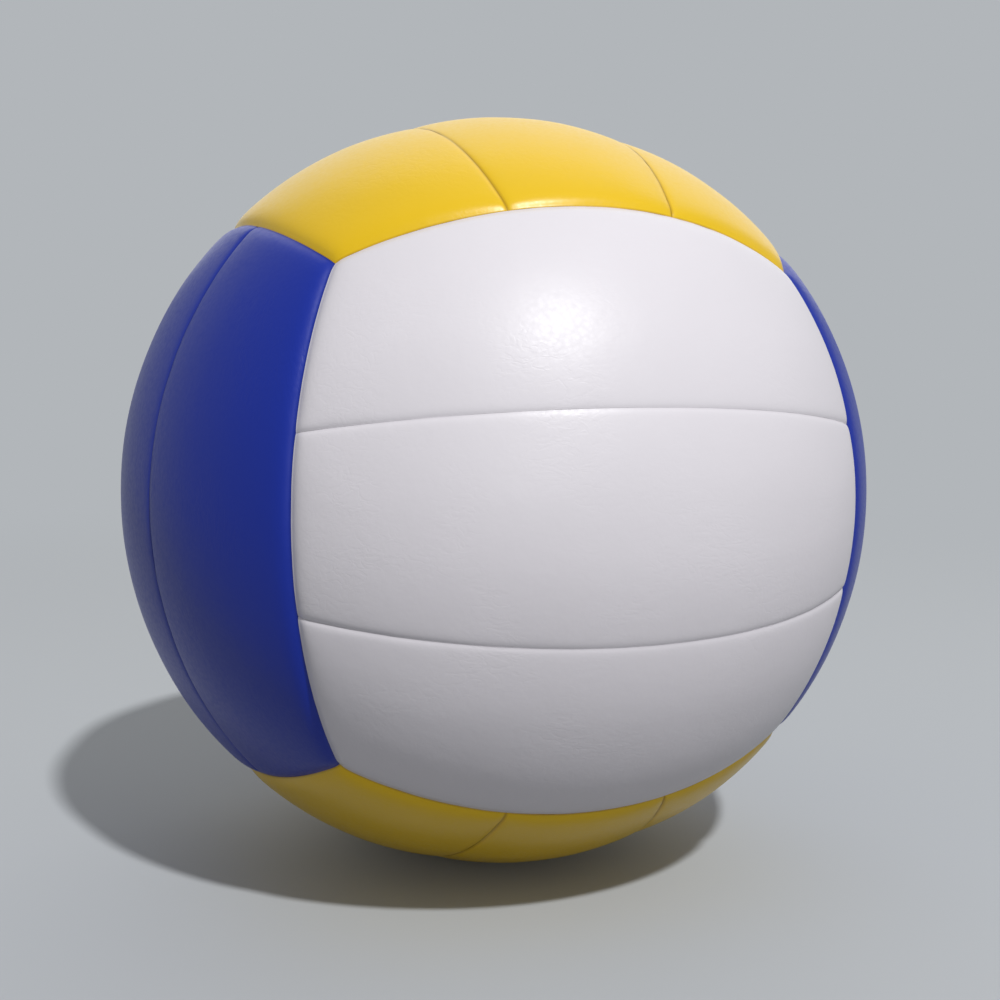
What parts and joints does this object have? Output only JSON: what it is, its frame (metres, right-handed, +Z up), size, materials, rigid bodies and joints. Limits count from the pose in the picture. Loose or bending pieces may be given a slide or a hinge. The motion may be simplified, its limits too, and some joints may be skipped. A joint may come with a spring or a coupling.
{
  "type": "volleyball",
  "caption": "Air-filled game ball: crowned strip panels stitched edge to edge over foam, cloth lining and a rubber bladder, with a needle valve at the back.",
  "frame": {"origin": "centre of the ball", "axes": "+Z up as the ball stands in the picture; the white front face looks along -Y; the needle channel of the valve opens along +Y"},
  "size_m": [0.2132, 0.2131, 0.2132],
  "materials": {
    "cover_white": "synthetic leather, fine grain, satin",
    "cover_blue": "synthetic leather, fine grain, satin",
    "cover_yellow": "synthetic leather, fine grain, satin",
    "foam": "closed-cell sponge",
    "lining": "woven cotton cloth",
    "thread": "bonded polyester thread",
    "bladder_rubber": "butyl rubber, dusted",
    "valve_rubber": "moulded rubber, satin",
    "plug_rubber": "moulded soft rubber"
  },
  "bodies": {
    "root": {"panel_front_lower": "cover_white", "panel_front_middle": "cover_white", "panel_front_upper": "cover_white", "panel_back_lower": "cover_white", "panel_back_middle": "cover_white", "panel_back_upper": "cover_white", "panel_left_front": "cover_blue", "panel_left_middle": "cover_blue", "panel_left_rear": "cover_blue", "panel_right_front": "cover_blue", "panel_right_middle": "cover_blue", "panel_right_rear": "cover_blue", "panel_bottom_left": "cover_yellow", "panel_bottom_middle": "cover_yellow", "panel_bottom_right": "cover_yellow", "panel_top_left": "cover_yellow", "panel_top_middle": "cover_yellow", "panel_top_right": "cover_yellow", "foam_front_lower": "foam", "foam_front_middle": "foam", "foam_front_upper": "foam", "foam_back_lower": "foam", "foam_back_middle": "foam", "foam_back_upper": "foam", "foam_left_front": "foam", "foam_left_middle": "foam", "foam_left_rear": "foam", "foam_right_front": "foam", "foam_right_middle": "foam", "foam_right_rear": "foam", "foam_bottom_left": "foam", "foam_bottom_middle": "foam", "foam_bottom_right": "foam", "foam_top_left": "foam", "foam_top_middle": "foam", "foam_top_right": "foam", "lining_front_lower": "lining", "lining_front_middle": "lining", "lining_front_upper": "lining", "lining_back_lower": "lining", "lining_back_middle": "lining", "lining_back_upper": "lining", "lining_left_front": "lining", "lining_left_middle": "lining", "lining_left_rear": "lining", "lining_right_front": "lining", "lining_right_middle": "lining", "lining_right_rear": "lining", "lining_bottom_left": "lining", "lining_bottom_middle": "lining", "lining_bottom_right": "lining", "lining_top_left": "lining", "lining_top_middle": "lining", "lining_top_right": "lining", "seam_thread": "thread", "bladder": "bladder_rubber", "balance_patch": "bladder_rubber", "valve_patch": "bladder_rubber", "valve_housing": "valve_rubber", "valve_plug": "plug_rubber"}
  },
  "joints": []
}
